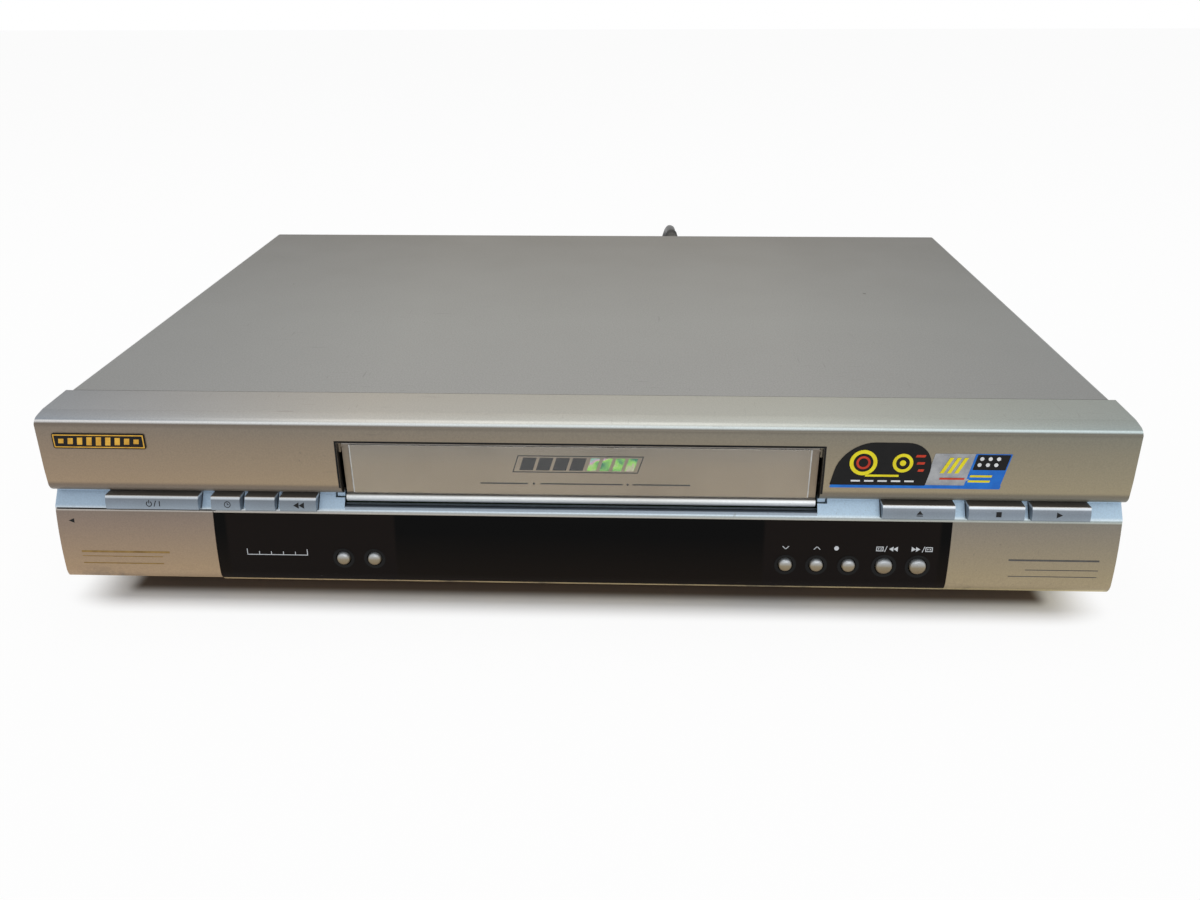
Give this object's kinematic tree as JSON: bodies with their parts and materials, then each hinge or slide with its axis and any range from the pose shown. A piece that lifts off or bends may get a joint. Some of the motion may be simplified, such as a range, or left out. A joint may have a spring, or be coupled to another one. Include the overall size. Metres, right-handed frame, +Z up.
{
  "type": "video cassette recorder",
  "caption": "Full-width front-loading video cassette recorder with hinged cassette door, press keys, socket flap and working tape deck.",
  "frame": {"origin": "centre of the recorder's box on the floor, without the mains lead", "axes": "+X along the front to the right, +Y to the back, +Z up"},
  "size_m": [0.43, 0.4226, 0.0814],
  "materials": {
    "silver_moulding": "metallic silver paint, slightly warm",
    "blue_silver_keys": "satin blue-silver",
    "round_keys": "satin silver",
    "painted_cover": "fine metallic silver paint",
    "zinc_steel": "zinc-coated sheet",
    "smoked_window": "smoked, polished",
    "door_leaf": "metallic silver paint",
    "clear_panel": "clear, polished",
    "black_rubber": "matte",
    "black_screws": "black zinc",
    "nickel": "nickel plate",
    "tinned_steel": "tin plate",
    "black_plastic": "moulded",
    "circuit_board": "lacquered",
    "transformer_core": "varnished",
    "capacitor_sleeve": "shrink sleeve",
    "display_glass": "dark glass",
    "aluminium": "turned",
    "bearing_brass": "turned",
    "shaft_steel": "ground",
    "white_plastic": "acetal",
    "lead_sheath": "flexible sheath"
  },
  "bodies": {
    "casing": {"front_panel": "silver_moulding", "top_cover": "painted_cover", "bottom_chassis": "zinc_steel", "rear_panel": "zinc_steel", "display_window": "smoked_window", "feet": "black_rubber", "cover_screws": "black_screws", "front_jacks": "nickel", "rear_jacks": "nickel", "tuner_can": "tinned_steel", "scart_sockets": "black_plastic", "front_board": "circuit_board", "main_board": "circuit_board", "power_board": "circuit_board", "transformer": "transformer_core", "capacitors": "capacitor_sleeve", "display_module": "display_glass", "key_switches": "black_plastic", "deck_chassis": "zinc_steel", "drum_base": "aluminium", "capstan_stator": "bearing_brass", "drive_belt": "black_rubber", "tape_heads": "shaft_steel", "guide_posts": "shaft_steel", "loading_motor": "tinned_steel", "carriage_frame": "zinc_steel", "strain_relief": "lead_sheath", "mains_lead": "lead_sheath", "lead_coil": "lead_sheath", "mains_plug": "lead_sheath"},
    "cassette_door": {"cassette_door": "door_leaf", "door_panel": "clear_panel"},
    "front_flap": {"front_flap": "silver_moulding"},
    "carriage_sled": {"carriage_sled": "zinc_steel"},
    "cassette_holder": {"cassette_holder": "zinc_steel"},
    "supply_reel": {"supply_reel": "black_plastic"},
    "take_up_reel": {"take_up_reel": "black_plastic"},
    "head_drum": {"head_drum": "aluminium"},
    "capstan": {"capstan": "shaft_steel"},
    "clutch_pulley": {"clutch_pulley": "white_plastic"},
    "pinch_arm": {"pinch_arm": "zinc_steel"},
    "pinch_roller": {"pinch_roller": "black_rubber"},
    "supply_guide": {"supply_guide": "bearing_brass"},
    "take_up_guide": {"take_up_guide": "bearing_brass"},
    "loading_pinion": {"loading_pinion": "white_plastic"},
    "mode_gear": {"mode_gear": "white_plastic"},
    "power_button": {"power_button": "blue_silver_keys"},
    "timer_button": {"timer_button": "blue_silver_keys"},
    "search_button": {"search_button": "blue_silver_keys"},
    "fast_rewind_button": {"fast_rewind_button": "blue_silver_keys"},
    "eject_button": {"eject_button": "blue_silver_keys"},
    "stop_button": {"stop_button": "blue_silver_keys"},
    "play_button": {"play_button": "blue_silver_keys"},
    "tape_mode_button": {"tape_mode_button": "round_keys"},
    "picture_mode_button": {"picture_mode_button": "round_keys"},
    "channel_down_button": {"channel_down_button": "round_keys"},
    "channel_up_button": {"channel_up_button": "round_keys"},
    "record_button": {"record_button": "round_keys"},
    "rewind_button": {"rewind_button": "round_keys"},
    "forward_button": {"forward_button": "round_keys"}
  },
  "joints": [
    {"name": "power_press", "type": "slide", "parent": "casing", "child": "power_button", "axis": [0, 1, 0], "range_m": [0, 0.0012], "stiffness_N_per_m": 1500},
    {"name": "timer_press", "type": "slide", "parent": "casing", "child": "timer_button", "axis": [0, 1, 0], "range_m": [0, 0.0012], "stiffness_N_per_m": 1500},
    {"name": "search_press", "type": "slide", "parent": "casing", "child": "search_button", "axis": [0, 1, 0], "range_m": [0, 0.0012], "stiffness_N_per_m": 1500},
    {"name": "fast_rewind_press", "type": "slide", "parent": "casing", "child": "fast_rewind_button", "axis": [0, 1, 0], "range_m": [0, 0.0012], "stiffness_N_per_m": 1500},
    {"name": "eject_press", "type": "slide", "parent": "casing", "child": "eject_button", "axis": [0, 1, 0], "range_m": [0, 0.0012], "stiffness_N_per_m": 1500},
    {"name": "stop_press", "type": "slide", "parent": "casing", "child": "stop_button", "axis": [0, 1, 0], "range_m": [0, 0.0012], "stiffness_N_per_m": 1500},
    {"name": "play_press", "type": "slide", "parent": "casing", "child": "play_button", "axis": [0, 1, 0], "range_m": [0, 0.0012], "stiffness_N_per_m": 1500},
    {"name": "tape_mode_press", "type": "slide", "parent": "casing", "child": "tape_mode_button", "axis": [0, 1, 0], "range_m": [0, 0.0012], "stiffness_N_per_m": 1500},
    {"name": "picture_mode_press", "type": "slide", "parent": "casing", "child": "picture_mode_button", "axis": [0, 1, 0], "range_m": [0, 0.0012], "stiffness_N_per_m": 1500},
    {"name": "channel_down_press", "type": "slide", "parent": "casing", "child": "channel_down_button", "axis": [0, 1, 0], "range_m": [0, 0.0012], "stiffness_N_per_m": 1500},
    {"name": "channel_up_press", "type": "slide", "parent": "casing", "child": "channel_up_button", "axis": [0, 1, 0], "range_m": [0, 0.0012], "stiffness_N_per_m": 1500},
    {"name": "record_press", "type": "slide", "parent": "casing", "child": "record_button", "axis": [0, 1, 0], "range_m": [0, 0.0012], "stiffness_N_per_m": 1500},
    {"name": "rewind_press", "type": "slide", "parent": "casing", "child": "rewind_button", "axis": [0, 1, 0], "range_m": [0, 0.0012], "stiffness_N_per_m": 1500},
    {"name": "forward_press", "type": "slide", "parent": "casing", "child": "forward_button", "axis": [0, 1, 0], "range_m": [0, 0.0012], "stiffness_N_per_m": 1500},
    {"name": "door_swing", "type": "hinge", "parent": "casing", "child": "cassette_door", "pos_m": [0, -0.14433, 0.0686], "axis": [1, 0, 0], "range_deg": [0, 92], "stiffness_Nm_per_rad": 0.008, "springref_deg": -17.19},
    {"name": "flap_swing", "type": "hinge", "parent": "casing", "child": "front_flap", "pos_m": [-0.18, -0.14452, 0.011], "axis": [1, 0, 0], "range_deg": [0, 90]},
    {"name": "carriage_in", "type": "slide", "parent": "casing", "child": "carriage_sled", "axis": [0, 1, 0], "range_m": [0, 0.062]},
    {"name": "carriage_down", "type": "slide", "parent": "carriage_sled", "child": "cassette_holder", "axis": [0, 0, -1], "range_m": [0, 0.019]},
    {"name": "supply_reel_turn", "type": "hinge", "parent": "casing", "child": "supply_reel", "pos_m": [-0.0455, -0.03823, 0.021], "axis": [0, 0, 1], "continuous": true},
    {"name": "take_up_reel_turn", "type": "hinge", "parent": "casing", "child": "take_up_reel", "pos_m": [0.0455, -0.03823, 0.021], "axis": [0, 0, 1], "continuous": true},
    {"name": "drum_turn", "type": "hinge", "parent": "casing", "child": "head_drum", "pos_m": [0, 0.05727, 0.028], "axis": [0.0872, 0, 0.9962], "continuous": true},
    {"name": "capstan_turn", "type": "hinge", "parent": "casing", "child": "capstan", "pos_m": [0.062, 0.03027, 0.021], "axis": [0, 0, 1], "continuous": true},
    {"name": "clutch_turn", "type": "hinge", "parent": "casing", "child": "clutch_pulley", "pos_m": [0.008, -0.02772, 0.021], "axis": [0, 0, 1], "continuous": true},
    {"name": "pinch_arm_swing", "type": "hinge", "parent": "casing", "child": "pinch_arm", "pos_m": [0.078, 0.05228, 0.031], "axis": [0, 0, 1], "range_deg": [-25, 0]},
    {"name": "pinch_roller_turn", "type": "hinge", "parent": "pinch_arm", "child": "pinch_roller", "pos_m": [0.0812, 0.0295, 0.039], "axis": [0, 0, 1], "continuous": true},
    {"name": "supply_guide_slide", "type": "slide", "parent": "casing", "child": "supply_guide", "axis": [-0.3896, 0.921, 0], "range_m": [0, 0.0564]},
    {"name": "take_up_guide_slide", "type": "slide", "parent": "casing", "child": "take_up_guide", "axis": [0.3896, 0.921, 0], "range_m": [0, 0.0564]},
    {"name": "mode_gear_turn", "type": "hinge", "parent": "casing", "child": "mode_gear", "pos_m": [-0.06586, 0.0678, 0.047], "axis": [0, 0, 1], "range_deg": [0, 240]},
    {"name": "loading_pinion_turn", "type": "hinge", "parent": "casing", "child": "loading_pinion", "pos_m": [-0.084, 0.07827, 0.047], "axis": [0, 0, 1], "range_deg": [-801, 0]}
  ],
  "couplings": [
    {"joint": "mode_gear_turn", "follows": "supply_guide_slide", "rad_per_m": 74.269},
    {"joint": "loading_pinion_turn", "follows": "supply_guide_slide", "rad_per_m": -247.56},
    {"joint": "take_up_guide_slide", "follows": "supply_guide_slide", "ratio": 1},
    {"joint": "pinch_arm_swing", "follows": "supply_guide_slide", "rad_per_m": -7.724},
    {"joint": "clutch_turn", "follows": "capstan_turn", "ratio": 0.58333}
  ]
}
